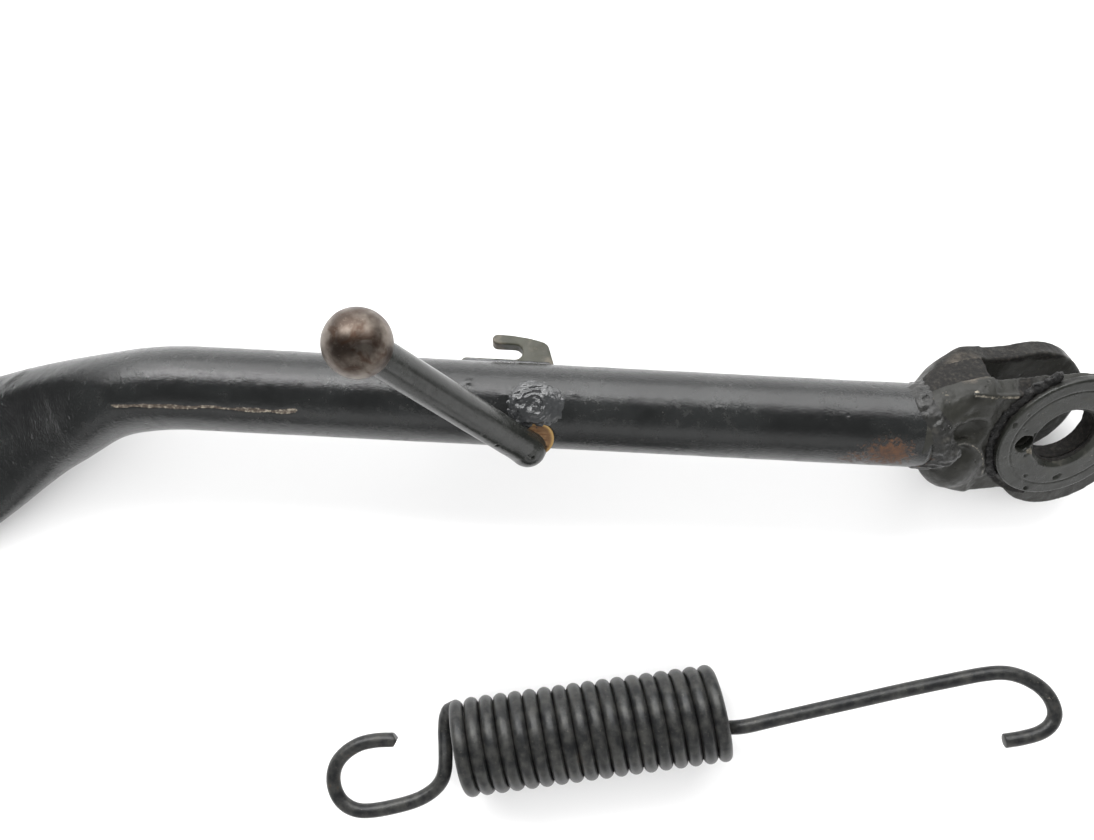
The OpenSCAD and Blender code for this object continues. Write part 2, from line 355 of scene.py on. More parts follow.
def paint(name, base=(30, 30, 30), rough=0.27, orange=0.10, pits=0.25, specks=0.55, dusty=0.25, masks=True, coarse=0.0, spec=0.5):
    """Glossy black paint over steel, with dust, pits, chips to bare steel, rust and grime where the masks say; the
    masks also paint highlights and shade.
    """
    m, nt, b = nodes_of(name)
    g = G(nt)
    n_big = g.noise(60, 3)
    n_mid = g.noise(420, 5, 0.6)
    n_fine = g.noise(2200, 3, 0.6)
    col = g.mix(g.ramp(n_big, 0.35, 0.7), srgb(*base), srgb(*[c * 1.25 + 4 for c in base]))
    # thin dust film
    dust = g.math("MULTIPLY", g.ramp(n_mid, 0.52, 0.75), g.ramp(n_big, 0.4, 0.65))
    col = g.mix(g.math("MULTIPLY", dust, dusty), col, srgb(104, 100, 92))
    rgh = g.mixf(g.ramp(n_mid, 0.3, 0.75), rough * 0.8, rough * 1.45)
    rgh = g.math("ADD", rgh, g.math("MULTIPLY", dust, 0.18))
    height = g.math("MULTIPLY_ADD", n_mid, 0.6, g.math("MULTIPLY", n_fine, 0.4))
    # pits and specks
    pit = g.ramp(g.voronoi(380), 0.10, 0.24, 1.0, 0.0)
    pit = g.math("MULTIPLY", pit, g.ramp(g.noise(150, 2), 0.5, 0.62))
    height = g.math("SUBTRACT", height, g.math("MULTIPLY", pit, 1.2 * pits))
    speck = g.math("MULTIPLY", g.ramp(g.voronoi(620), 0.08, 0.16, 1.0, 0.0), g.ramp(g.noise(95, 2), 0.55, 0.66))
    col = g.mix(g.math("MULTIPLY", speck, specks), col, srgb(128, 122, 110))
    rgh = g.math("ADD", rgh, g.math("MULTIPLY", speck, 0.25))
    if masks:
        edge = g.noise(900, 6, 0.7)
        blot = g.noise(260, 5, 0.65)
        # wear and painted highlight: bare, scuffed metal colour, also laid on edges and spots as painted highlights and
        # glints
        wear = g.ramp(g.math("ADD", g.attr("wear"), g.math("MULTIPLY", g.math("SUBTRACT", edge, 0.5), 0.9)), 0.45, 0.6)
        col = g.mix(wear, col, g.mix(g.ramp(edge, 0.4, 0.65), srgb(88, 84, 76), srgb(140, 134, 122)))
        rgh = g.mixf(wear, rgh, 0.42)
        metal = g.math("MULTIPLY", wear, 0.75)
        height = g.math("SUBTRACT", height, g.math("MULTIPLY", wear, 0.6))
        # scrape through the paint
        scr = g.ramp(g.math("ADD", g.attr("scrape"), g.math("MULTIPLY", g.math("SUBTRACT", edge, 0.5), 0.9)), 0.42, 0.6)
        col = g.mix(scr, col, g.mix(g.ramp(edge, 0.47, 0.66), srgb(58, 49, 41), srgb(148, 140, 126)))
        rgh = g.mixf(scr, rgh, 0.5)
        # primer or brown dust showing
        prim = g.ramp(g.math("ADD", g.attr("primer"), g.math("MULTIPLY", g.math("SUBTRACT", blot, 0.5), 0.8)), 0.4, 0.7)
        col = g.mix(g.math("MULTIPLY", prim, 0.8), col, srgb(108, 99, 88))
        rgh = g.mixf(prim, rgh, 0.5)
        # rust
        rust = g.ramp(g.math("ADD", g.attr("rust"), g.math("MULTIPLY", g.math("SUBTRACT", edge, 0.5), 1.1)), 0.42, 0.72)
        rcol = g.mix(g.ramp(edge, 0.35, 0.7), srgb(58, 38, 26), srgb(96, 64, 40))
        col = g.mix(g.math("MULTIPLY", rust, 0.85), col, rcol)
        rgh = g.mixf(rust, rgh, 0.62)
        metal = g.math("MULTIPLY", metal, g.math("SUBTRACT", 1.0, rust, clamp=True))
        height = g.math("ADD", height, g.math("MULTIPLY", g.math("MULTIPLY", rust, edge), 0.8))
        # grime and painted shade: near-black crumbly colour, also laid in bores, slots and corners as painted shade
        grime = g.ramp(g.math("ADD", g.attr("grime"), g.math("MULTIPLY", g.math("SUBTRACT", blot, 0.5), 0.6)), 0.35, 0.7)
        col = g.mix(grime, col, g.mix(g.ramp(edge, 0.45, 0.7), srgb(14, 13, 12), srgb(44, 41, 37)))
        rgh = g.mixf(grime, rgh, 0.75)
        height = g.math("ADD", height, g.math("MULTIPLY", g.math("MULTIPLY", grime, edge), 1.6))
    nt.links.new(col, b.inputs["Base Color"])
    nt.links.new(rgh, b.inputs["Roughness"])
    if masks:
        nt.links.new(metal, b.inputs["Metallic"])
    nrm = g.bump(height, orange, 0.0006)
    if coarse:
        nrm = g.bump(g.noise(170, 4, 0.6), coarse, 0.0012, nrm)
    nt.links.new(nrm, b.inputs["Normal"])
    b.inputs["IOR"].default_value = 1.5
    b.inputs["Specular IOR Level"].default_value = spec
    return m


def crust_and_shade():
    """Black, crumbly dirt and weld crust packed in the corner round the collar; its near-black colour is also painted
    shade for that corner.
    """
    m, nt, b = nodes_of("black_weld_crust_and_shade")
    g = G(nt)
    n1 = g.noise(700, 5, 0.7); n2 = g.noise(2400, 3, 0.6)
    col = g.mix(g.ramp(n1, 0.4, 0.7), srgb(4, 4, 4), srgb(20, 19, 18))
    # light flecks: painted glints
    nt.links.new(g.mix(g.ramp(n2, 0.68, 0.76), col, srgb(104, 101, 96)), b.inputs["Base Color"])
    nt.links.new(g.mixf(n2, 0.35, 0.8), b.inputs["Roughness"])
    nt.links.new(g.bump(g.math("ADD", n1, g.math("MULTIPLY", n2, 0.4)), 0.7, 0.0008), b.inputs["Normal"])
    return m


def wire_material():
    m, nt, b = nodes_of("spring_wire_black")
    g = G(nt)
    n1 = g.noise(300, 5, 0.6); n2 = g.noise(1500, 4, 0.6); n3 = g.noise(45, 2)
    col = g.mix(g.ramp(n1, 0.35, 0.7), srgb(33, 34, 35), srgb(62, 62, 60))
    col = g.mix(g.math("MULTIPLY", g.ramp(n2, 0.62, 0.72), 0.5), col, srgb(98, 94, 86))
    wear = g.ramp(g.math("ADD", g.attr("wear"), g.math("MULTIPLY", g.math("SUBTRACT", n2, 0.5), 1.0)), 0.5, 0.75)
    col = g.mix(wear, col, srgb(150, 144, 134))
    rust = g.math("MULTIPLY", g.ramp(n1, 0.6, 0.72), g.ramp(n3, 0.5, 0.62))
    col = g.mix(g.math("MULTIPLY", rust, 0.6), col, srgb(78, 56, 40))
    nt.links.new(col, b.inputs["Base Color"])
    nt.links.new(g.math("ADD", g.mixf(n1, 0.3, 0.5), g.math("MULTIPLY", rust, 0.2)), b.inputs["Roughness"])
    nt.links.new(g.math("MULTIPLY_ADD", wear, 0.4, 0.45), b.inputs["Metallic"])
    nt.links.new(g.bump(g.math("ADD", n2, g.math("MULTIPLY", n1, 1.2)), 0.12, 0.0005), b.inputs["Normal"])
    return m


def ball_material():
    m, nt, b = nodes_of("worn_ball_steel")
    g = G(nt)
    n1 = g.noise(110, 4, 0.55); n2 = g.noise(1300, 4, 0.6); n3 = g.noise(190, 3, 0.5, dist=0.6)
    scr = g.noise(420, 4, 0.7, stretch=(0.3, 2.2, 1.0))
    col = g.mix(g.ramp(n1, 0.38, 0.62), srgb(72, 63, 57), srgb(122, 114, 106))
    col = g.mix(g.math("MULTIPLY", g.ramp(n3, 0.5, 0.66), 0.75), col, srgb(66, 48, 38))
    col = g.mix(g.math("MULTIPLY", g.ramp(n2, 0.55, 0.75), 0.3), col, srgb(132, 124, 114))
    nt.links.new(col, b.inputs["Base Color"])
    b.inputs["Metallic"].default_value = 1.0
    nt.links.new(g.math("ADD", g.mixf(n3, 0.33, 0.47), g.math("MULTIPLY", n2, 0.05)), b.inputs["Roughness"])
    nt.links.new(g.bump(g.math("MULTIPLY_ADD", scr, 0.5, g.math("MULTIPLY", n2, 0.5)), 0.12, 0.0004), b.inputs["Normal"])
    return m


def sawn_material(centre, axis):
    """Bare sawn end face with a film of rust and faint saw marks."""
    m, nt, b = nodes_of("sawn_rusty_steel")
    g = G(nt)
    marks = g.noise(900, 3, 0.6, stretch=(0.25, 2.5, 1))
    n1 = g.noise(500, 5, 0.6); n2 = g.noise(1600, 4, 0.6)
    col = g.mix(g.ramp(n1, 0.35, 0.65), srgb(92, 68, 45), srgb(124, 97, 68))
    col = g.mix(g.math("MULTIPLY", g.ramp(marks, 0.5, 0.68), 0.7), col, srgb(76, 46, 24))
    # lighter rim round the sawn edge: partly burr, partly painted highlight
    col = g.mix(g.math("MULTIPLY", g.attr("rim"), 0.8), col, srgb(166, 136, 84))
    nt.links.new(col, b.inputs["Base Color"])
    b.inputs["Metallic"].default_value = 0.35
    nt.links.new(g.mixf(n2, 0.42, 0.62), b.inputs["Roughness"])
    nt.links.new(g.bump(g.math("ADD", marks, g.math("MULTIPLY", n2, 0.5)), 0.35, 0.0004), b.inputs["Normal"])
    return m


M_LEG = paint("black_paint_leg", base=(21, 22, 22), rough=0.19, orange=0.36, specks=0.06, dusty=0.04)
M_YOKE = paint("black_paint_cast", base=(31, 31, 28), rough=0.38, orange=0.34, pits=1.1, coarse=0.20, spec=0.30, dusty=0.16)
M_COLLAR = paint("black_paint_collar", base=(27, 28, 25), rough=0.30, orange=0.18, pits=0.9, coarse=0.07, spec=0.38)
M_ROD = paint("black_paint_rod", base=(27, 28, 26), rough=0.20, orange=0.10, specks=0.08, dusty=0.04)
M_TAB = paint("black_paint_plate", base=(48, 48, 40), rough=0.44, orange=0.12, spec=0.30, dusty=0.08)
M_WELD = paint("black_paint_weld", base=(40, 41, 42), rough=0.19, orange=0.45, coarse=0.3, spec=0.85)
M_SEAM = paint("black_paint_seam", base=(27, 27, 26), rough=0.30, orange=0.5, pits=1.2, coarse=0.35, spec=0.42)
M_CRUST_AND_SHADE = crust_and_shade()
M_WIRE = wire_material()
M_BALL = ball_material()


def zeros(n, **given):
    out = {k: np.zeros(n) for k in ("wear", "primer", "rust", "grime", "scrape")}
    out.update(given)
    return out


def bell(d, r):
    return np.clip(1 - d / r, 0, 1) ** 1.0


# ---------------------------------------------------------------- leg: tube, bend and foot in one skin
def ease(t):
    t = min(max(t, 0.0), 1.0)
    return t * t * (3 - 2 * t)


def foot_mid(s):
    sweep = 0.5 * s * s / 96 if s < 48 else 0.5 * (s - 24)
    return np.array([BEND_X - s, TUBE_Y - sweep, TUBE_Z + (FLOOR + 4.3 - 0.8 - TUBE_Z) * ease(s / 100)])


def foot_size(s):
    """Half width, half thickness and squareness of the section at s."""
    nose = (1 - max(0.0, (s - 92) / 20) ** 2.5) ** 0.4
    t = ease((s - 10) / 65)
    return nose * (11.1 + 10.9 * ease((s - 18) / 70)), nose ** 0.6 * (11.1 - 6.8 * t), 2 + 0.8 * t



def catmull(rows, u):
    rows = np.asarray(rows, float)
    n = len(rows)
    i = min(int(u), n - 2); t = u - i
    a, b, c, d = rows[max(i - 1, 0)], rows[i], rows[i + 1], rows[min(i + 2, n - 1)]
    return 0.5 * (2 * b + (c - a) * t + (2 * a - 5 * b + 4 * c - d) * t * t + (3 * b - a - 3 * c + d) * t ** 3)


def spot(v, c, r, stretch=(1, 1, 1)):
    """1 at the middle of a patch, 0 at its edge."""
    d = np.sqrt((((v - np.array(c, float)) * np.array(stretch, float)) ** 2).sum(-1))
    return np.clip(1 - d / r, 0, 1)


def leg():
    m = 176
    a = np.arange(m) * 2 * math.pi / m
    rings = []
    for x in np.arange(NECK_X + 1.6, BEND_X, -0.8):
        s, v = np.array([0, -1.0, 0]), np.array([0, 0, 1.0])
        c = np.array([x, TUBE_Y, TUBE_Z])
        rings.append(c + TUBE_R * (np.cos(a)[:, None] * s + np.sin(a)[:, None] * v))
    stations = list(np.arange(0, 92, 0.8)) + [112 - 20 * (1 - math.sin(math.radians(k))) for k in range(0, 84, 3)]
    for st in stations:
        q = foot_mid(st)
        hw, ht, sq = foot_size(st)
        d = foot_mid(st + 0.5) - foot_mid(st - 0.5) if st > 0 else np.array([-1.0, 0, 0])
        d = d / np.linalg.norm(d)
        s = np.cross([0, 0, 1.0], d); s /= np.linalg.norm(s)
        v = np.cross(d, s)
        e = 2 / sq
        ca, sa = np.cos(a), np.sin(a)
        # the crushed part keeps a fuller roll along its outer edge and a shallow hollow beside it
        k = np.clip((st - 22) / 22.0, 0, 1) * np.clip((108 - st) / 10, 0, 1)
        side = np.sign(ca) * np.abs(ca) ** e
        lift = k * (1.4 * np.exp(-((side + 0.60) / 0.24) ** 2) - 0.8 * np.exp(-((side - 0.1) / 0.5) ** 2)) * np.clip(sa, 0, 1)
        pnt = q + (s * (hw * side)[:, None]) + (v * (ht * np.sign(sa) * np.abs(sa) ** e + lift)[:, None])
        rings.append(pnt)
    last = np.array(rings[-1]); mid = last.mean(0)
    for k in (0.8, 0.5, 0.2):
        rings.append(mid + (last - mid) * k + np.array([-0.25, -0.12, 0]) * (1 - k))
    v, faces = tube_mesh(rings)
    v = v.copy()
    bend = np.exp(-((v[:, 0] + 259) / 7.5) ** 2) * np.clip((-(v[:, 1] + 9)) / 6, 0, 1)
    v[:, 1] -= 1.3 * bend
    # outward direction on the round part, straight up elsewhere
    rad = v - np.stack([v[:, 0], np.full(len(v), TUBE_Y), np.full(len(v), TUBE_Z)], 1)
    rad /= np.maximum(np.linalg.norm(rad, axis=1), 1e-6)[:, None]
    far = np.clip((-v[:, 0] - 232) / 30, 0, 1)
    up = np.array([0, 0, 1.0])
    out = rad * (1 - far)[:, None] + up * far[:, None] * np.sign(rad[:, 2:3])
    h = 0.05 * fbm(v, 9, 3) + 0.015 * noise(v, 2.2, 4) + far * 0.22 * fbm(v, 13, 5)
    # short crease pressed in where the flattening starts
    ca0, ca1 = np.array([-282.0, -6.8]), np.array([-277.0, -2.6])
    tt = np.clip(((v[:, :2] - ca0) @ (ca1 - ca0)) / ((ca1 - ca0) @ (ca1 - ca0)), 0, 1)
    dc = np.linalg.norm(v[:, :2] - ca0 - tt[:, None] * (ca1 - ca0), axis=1)
    h -= 0.3 * np.exp(-(dc / 0.7) ** 2) * (v[:, 2] > -9)
    # long scrape on the side that faces up
    t = np.clip((v[:, 0] + 248.5) / 50.0, 0, 1)
    sy = -10.9 + 0.9 * t + 0.35 * noise(np.stack([v[:, 0], v[:, 0] * 0, v[:, 0] * 0], 1), 6, 7)
    width = 0.34 + 0.22 * noise(np.stack([v[:, 0], v[:, 0] * 0, v[:, 0] * 0], 1), 3.5, 8)
    inx = np.clip((v[:, 0] + 248.8) / 2, 0, 1) * np.clip((-198.7 - v[:, 0]) / 1.5, 0, 1)
    scrape = np.clip(1.25 - np.abs(v[:, 1] - sy) / np.maximum(width, 0.16) / 1.6, 0, 1) * inx * (v[:, 2] > 6)
    h -= 0.16 * np.clip(scrape, 0, 1)
    # spatter stuck to the paint
    for c, r, hh in (((-155.8, -0.3, 18.6), 0.95, 0.5), ((-146.2, -3.2, 19.5), 0.8, 0.4), ((-128.5, -2.0, 19.3), 0.6, 0.3), ((-176.0, -1.5, 19.0), 0.5, 0.25), ((-92.0, -3.6, 19.6), 0.55, 0.25)):
        h += hh * np.sqrt(spot(v, c, r))
    v = v + out * h[:, None]
    v[:, 2] = np.maximum(v[:, 2], FLOOR)
    x, y, z = v.T
    rust = 0.95 * spot(v, (-47, -12.2, 14.5), 11.5, (0.78, 1.25, 1)) + 0.6 * spot(v, (-60, -13.6, 12), 7, (0.8, 1.4, 1)) \
        + 0.55 * spot(v, (-132.0, -12.5, 15), 3.6) + 0.4 * spot(v, (-285, -14, -4), 6)
    primer = 0.3 * spot(v, (-66, -2, 19), 16, (0.5, 1, 1)) + 0.4 * spot(v, (-284, -10, -6), 10)
    # light patches on the bend into the foot: painted highlight where the tube's shine curls round
    wear = 0.8 * spot(v, (-277.5, -8.0, -1), 7.5, (0.8, 1.1, 1)) + 0.35 * spot(v, (-271, -4.5, 1), 6)
    # darker in a patch on the foot's outer side and everywhere below z = -2
    grime = 0.3 * spot(v, (-260, -24, -2), 14) + 0.25 * np.clip((z < -2) * 1.0, 0, 1)
    at = zeros(len(v), rust=rust, primer=primer, wear=wear, grime=grime, scrape=scrape)
    mesh_object("leg_and_foot", v, faces, "stand", ("leg_tube", "foot"), M_LEG, at)


leg()


# ---------------------------------------------------------------- yoke
def local(p):
    return p @ YL, p @ YW, p @ YN


def tube_field(p):
    return length(p[..., 1] - TUBE_Y, p[..., 2] - TUBE_Z) - TUBE_R


def level(x):
    """Height of the neck's upper surface, from the tube's crown down to the ear."""
    t = np.clip((x + 38.6) / 14.5, 0, 1)
    return 13.3 - 4.7 * t * t * (3 - 2 * t)


def neck_field(p):
    x = p[..., 0]
    l, w, n = local(p)
    t1 = np.sin(np.clip((x + 39.0) / 12.0, 0, 1) * math.pi / 2)
    u2 = np.clip((x + 34.0) / 9.5, 0, 1); t2 = u2 * u2 * (3 - 2 * u2)
    g0 = 0.75 - 0.83 * np.clip((x + 38.9) / 3.6, 0, 1)
    whi, wlo = 12.8 - g0 + 3.4 * t1, -10.2 + g0 - 7.6 * t2
    nlo, nhi = -9.7 + g0 - 1.2 * t1, level(x) - g0
    cw, cn, hw, hn = (whi + wlo) / 2, (nhi + nlo) / 2, (whi - wlo) / 2, (nhi - nlo) / 2
    up, near = w > cw, n > cn
    r = np.where(up, np.where(near, 11.4 - 7.4 * t2, 11.4 - 8.8 * t1), 11.4 - np.where(near, 8.2, 7.6) * t2)
    r = np.minimum(r, np.minimum(hw, hn) - 0.01)
    qx, qy = np.abs(w - cw) - hw + r, np.abs(n - cn) - hn + r
    d = length(np.maximum(qx, 0), np.maximum(qy, 0)) + np.minimum(np.maximum(qx, qy), 0) - r
    return smax(d, slab(x, -38.9, -22.0), 0.3)


RIDGE = [(-33.4, 0.4), (-31.5, 1.2), (-29.4, 1.0), (-27.0, 0.0), (-25.0, -1.4), (-23.2, -3.4), (-21.8, -6.0), (-20.7, -9.0), (-20.2, -12.0)]


BEVEL = [(-30.1, 16.0), (-26.9, 15.1), (-22.5, 14.2), (-18.2, 13.9), (-11.2, 13.9), (-6.3, 15.4)]


def near_line(q2, pts):
    """Distance in the plane of the ear from a line through points."""
    d = np.full(q2.shape[:-1], 1e9)
    for a, b in zip(pts[:-1], pts[1:]):
        a, b = np.array(a), np.array(b)
        t = np.clip(((q2 - a) @ (b - a)) / ((b - a) @ (b - a)), 0, 1)
        d = np.minimum(d, np.linalg.norm(q2 - a - t[..., None] * (b - a), axis=-1))
    return d


def yoke_field(p):
    l, w, n = local(p)
    x = p[..., 0]
    near2 = smin(smin(rbox2(l, w, -10, -1.0, 14.8, 17.2, 2.0), length(l - 2, w + 3.0) - 19.0, 1.0), length(l - 3.4, w + 7.4) - 18.4, 1.5)
    near2 = smax(near2, (w - 13.9) * 0.914 + (n - N_EAR) * 0.407, 0.45)
    near = extrude(near2, n, N_SLOT, N_EAR, 0.45)
    far2 = smin(rbox2(l, w, -13, -1.0, 12, 17.0, 1.2), length(l + 4.45, w + 0.84) - 17.6, 1.0)
    far = extrude(far2, n, N_BACK, N_FAR, 0.8)
    root2 = rbox2(l, w, -24.2, -1.0, 2.8, 17.0, 2.2)
    root2 = smax(root2, (w - 13.9) * 0.914 + (n - N_EAR) * 0.407, 0.45)
    root = extrude(root2, n, N_BACK, N_EAR, 1.6)
    body = smin(smin(near, root, 1.6), far, 1.6)
    d = smin(body, neck_field(p), 3.0)
    # swelling under the neck and the hollow above it
    lump = (length((l + 27.5) / 8.6, (w + 9.2) / 9.3, (n - 3.3) / 8.3) - 1) * 8.0
    d = smin(d, lump, 1.0)
    hollow = (length((l + 28.0) / 6.6, (w - 4.4) / 5.2, (n - 13.6) / 6.6) - 1) * 5.0
    d = smax(d, -hollow, 0.9)
    q = np.stack([l, w, n - level(x)], -1)
    lip = 1e9
    for k in range(len(RIDGE) - 1):
        e0, e1 = 0.25 - 0.5 * (k < 1), 0.25 - 0.45 * (k > 5)
        lip = np.minimum(lip, capsule(q, (*RIDGE[k], e0 + 0.25), (*RIDGE[k + 1], e1 + 0.25), 0.85))
    d = smin(d, lip, 1.3)
    edge = 1e9
    for a2, b2 in zip(BEVEL[:-1], BEVEL[1:]):
        edge = np.minimum(edge, capsule(q, (*a2, -0.35), (*b2, -0.35), 0.6))
    d = smin(d, edge, 0.7)
    # pressed-down land below the ridge's right end
    d = smin(d, capsule(q, (-31.0, 8.6, 0.2), (-25.0, 8.8, -0.2), 0.6), 1.6)
    # slot with a ragged closed end, bore and locating hole
    end = -23.3 - 0.217 * (n - N_SLOT) + 0.45 * noise(p, 2.2, 5) + 0.25 * noise(p, 0.9, 6)
    slot = np.maximum(slab(n, N_FAR, N_SLOT), end - l)
    d = smax(d, -slot, 0.35)
    r = length(l, w)
    bore = r - BORE + 0.12 * noise(p, 1.6, 15) + 0.07 * noise(p, 0.7, 16)
    d = smax(d, -bore, 0.3)
    pin = np.maximum(length(l + 11.9, w + 0.4) - 2.5, 6.0 - n)
    d = np.maximum(d, -pin)
    # cast skin, coarser on the ear's upper edge and where weld spatter lies
    mask = np.clip((r - BORE - 0.8) / 1.5, 0, 1)
    grit = np.clip(1 - np.abs(l + 9) / 13, 0, 1) * np.clip((w - 12.0) / 2, 0, 1) * np.clip((n - 2.5) / 1.0, 0, 1)
    sp = np.clip(1 - length((x + 33.5) / 6.5, (p[..., 1] - 2.0) / 4.0, (p[..., 2] - 17) / 6), 0, 1)
    rough = 0.09 * fbm(p, 3.4, 11) + 0.04 * noise(p, 1.2, 12)
    rough = rough - grit * 0.30 * np.clip(noise(p, 1.15, 13) + 0.15, 0, 1) - sp * (0.55 * np.clip(noise(p, 1.9, 14), -0.4, 1) + 0.22 * noise(p, 0.9, 18))
    return d + rough * mask


def yoke():
    v, f = surface_nets(yoke_field, (-42.5, -29.5, -21.5), (26, 24.5, 27.5), 0.40)
    v[:, 2] = np.maximum(v[:, 2], FLOOR)
    l, w, n = local(v)
    r = length(l, w)
    prim = 1.3 * spot(v, (-26.5, 9.3, 11.0), 9.0, (0.95, 0.9, 0.7)) + 0.35 * spot(v, (-12, 14, 4), 14)
    # darker ring in the corner round the collar, in the slot towards its closed end and in the bore: painted shade with
    # some grime; grit on the near ear's top band; darker along the upper edge of the far ear and slot
    grime = 0.9 * np.clip(1 - np.abs(r - 21.0) / 1.6, 0, 1) * (l < -4) * (n > 4) \
        + 0.55 * np.clip(1 - np.abs(l + 9) / 16, 0, 1) * np.clip((w - 12.4) / 2, 0, 1) * (n > 3) \
        + 0.8 * ((n > N_FAR + 0.3) & (n < N_SLOT - 0.3)) * np.clip((-15 - l) / 5, 0, 1) + 0.9 * (r < 8.9) \
        + 0.62 * np.clip((w - 12.5) / 2.5, 0, 1) * (n < 3.0)
    rust = 0.7 * spot(v, (-34.5, -12.5, 12.0), 8.5, (0.8, 1, 0.8))
    lw = np.stack([l, w], -1)
    top = n > 6.8
    # lighter spot on the weld spatter: painted glints; light lines along the rolled top edge (BEVEL) and the ridge
    # (RIDGE): painted highlights
    wear = 0.5 * spot(v, (-33.5, 2.2, 18.5), 6.0) + 0.74 * np.clip(1 - near_line(lw, BEVEL) / 0.85, 0, 1) * top \
        + 0.58 * np.clip(1 - near_line(lw, RIDGE) / 0.85, 0, 1) * top
    at = zeros(len(v), primer=prim, grime=grime, rust=rust, wear=wear)
    mesh_object("yoke_forging", v, f, "stand", ("yoke",), M_YOKE, at)


yoke()


# ---------------------------------------------------------------- collar
def collar_field(p):
    l, w, n = local(p)
    r = length(l, w)
    bore = BORE + 0.13 * noise(p, 1.5, 24) + 0.06 * noise(p, 0.7, 25)
    d = extrude(np.maximum(r - 19.4, bore - r), n, N_EAR - 0.02, N_FACE, 0.6)
    mouth = (r - 9.9 - (n - N_FACE) * 1.0) * 0.7071
    d = smax(d, -mouth, 0.15)
    # shallow turned step inside the rim
    d = smax(d, -np.maximum(slab(r, 15.6, 16.0), 10.86 - n), 0.1)
    pin = length(l + 11.9, w + 0.4) - 2.5 - np.clip(n - 10.4, 0, 1) * 0.5 + 0.16 * noise(p, 1.3, 22)
    d = smax(d, -pin, 0.2)
    # chips between the hole and the bore, and dents in the face
    for c, k in (((-9.7, -3.4, 11.2), 0.9), ((-8.9, -1.9, 11.0), 0.8), ((-10.6, -4.6, 11.3), 0.7), ((-9.6, 2.3, 11.1), 0.8),
                 ((-8.0, -12.3, 11.35), 0.8), ((1.7, -13.9, 11.3), 0.85), ((2.4, -13.2, 11.4), 0.7), ((-6.5, -16.9, 11.2), 0.7), ((-17.2, 6.4, 11.1), 0.7)):
        d = smax(d, -(length(l - c[0], w - c[1], n - c[2]) - k + 0.25 * noise(p, 0.8, 23)), 0.15)
    return d + 0.045 * fbm(p, 4.0, 21) * np.clip((r - 10.5), 0, 1)


def collar():
    v, f = surface_nets(collar_field, (-21, -23.5, -10), (23.5, 12.5, 23.5), 0.32)
    l, w, n = local(v)
    r = length(l, w)
    # darker outer wall on the neck side and darker bore wall: painted shade with some grime
    grime = 0.55 * np.clip((r - 18.3) / 1.0, 0, 1) * (n < 10.2) * (l < 0) + 0.9 * (r < 8.85) * (n < 10.6)
    # light rings at the bore mouth and at the outer rim: painted highlights; light patch by the locating hole: chipped
    # paint
    wear = 0.42 * np.clip(1 - np.abs(r - 9.8) / 0.5, 0, 1) * (n > 10.4) + 0.75 * np.clip(1 - length(l + 9.7, w + 3.6) / 1.7, 0, 1) + 0.38 * np.clip(1 - np.abs(r - 19.0) / 0.6, 0, 1) * (n > 10.0)
    mesh_object("pivot_collar_disc", v, f, "stand", ("pivot_collar",), M_COLLAR, zeros(len(v), grime=grime, wear=wear, primer=0.25 * spot(v, (-12, -4, 12), 12)))


collar()

# ---------------------------------------------------------------- welds
def yoke_weld():
    def f(p):
        x, y, z = p[..., 0], p[..., 1] - TUBE_Y, p[..., 2] - TUBE_Z
        base = smin(tube_field(p), neck_field(p), 0.5)
        top = np.clip(z / 8.0, 0, 1)
        xc = -38.2 + top * (2.6 - 0.50 * y) + 0.8 * noise(p, 5.5, 33)
        s = x - xc
        low = np.clip((z + 5.0) / 7.0, 0, 1)
        half = 2.2 + 0.9 * top + 0.5 * noise(p, 4.0, 34)
        prof = np.clip(1 - (s / half) ** 2, -0.6, 1)
        ang = np.arctan2(z, y)
        ripple = 0.10 * np.sin(ang * 30 + 0.9 * s + 2.0 * noise(p, 6, 35))
        h = (0.50 + 0.35 * top) * prof * low + low * (ripple + 0.26 * noise(p, 1.9, 31) + 0.18 * noise(p, 1.0, 32)) * np.clip(prof + 0.3, 0, 1) - 0.10 - 0.35 * (1 - low)
        d = (base - h) * 0.85
        d = np.maximum(d, -(base + 0.5))
        return np.maximum(d, np.abs(s) - half - 0.3)
    v, f2 = surface_nets(f, (-45.5, -19.5, -6.0), (-27.5, 11, 23), 0.30)
    v[:, 2] = np.maximum(v[:, 2], FLOOR)
    # light spot at the top of the bead: painted glints; the rust and grime patches are the bead's own colour
    at = zeros(len(v), rust=0.8 * spot(v, (-38.5, -12.5, 13.0), 8.5), wear=0.55 * spot(v, (-36.0, 2.0, 19), 4.5), grime=0.25 * (noise(v, 6, 36) > 0.1))
    mesh_object("yoke_weld_bead", v, f2, "stand", ("yoke_weld",), M_SEAM, at)


yoke_weld()


def collar_weld():
    def f(p):
        l, w, n = local(p)
        ang = np.degrees(np.arctan2(w, l)) % 360
        r = length(l, w)
        over = np.maximum(np.maximum(112 - ang, ang - 216), 0) * 0.3
        d = length((r - 20.3) * 0.72, (n - 8.55) * 1.1, over) - 1.05
        crumbs = 0.45 * np.clip(noise(p, 1.35, 41), -0.3, 1) + 0.28 * noise(p, 0.75, 42) + 0.25 * noise(p, 3.0, 43)
        return d - crumbs * 0.9
    v, f = surface_nets(f, (-24, -18.5, -6), (-3, 20, 23), 0.26)
    mesh_object("collar_weld_bead", v, f, "stand", ("collar_weld",), M_CRUST_AND_SHADE, zeros(len(v), grime=np.full(len(v), 0.85)))


collar_weld()

# ---------------------------------------------------------------- peg
ROOT = np.array([-140.0, -16.7, 16.5]); TIP = np.array([-177.8, 5.7, 60.9])
SAW = np.array([-137.85, -14.0, 17.6]); SAW0 = np.array([-137.85, -11.3, 10.2])


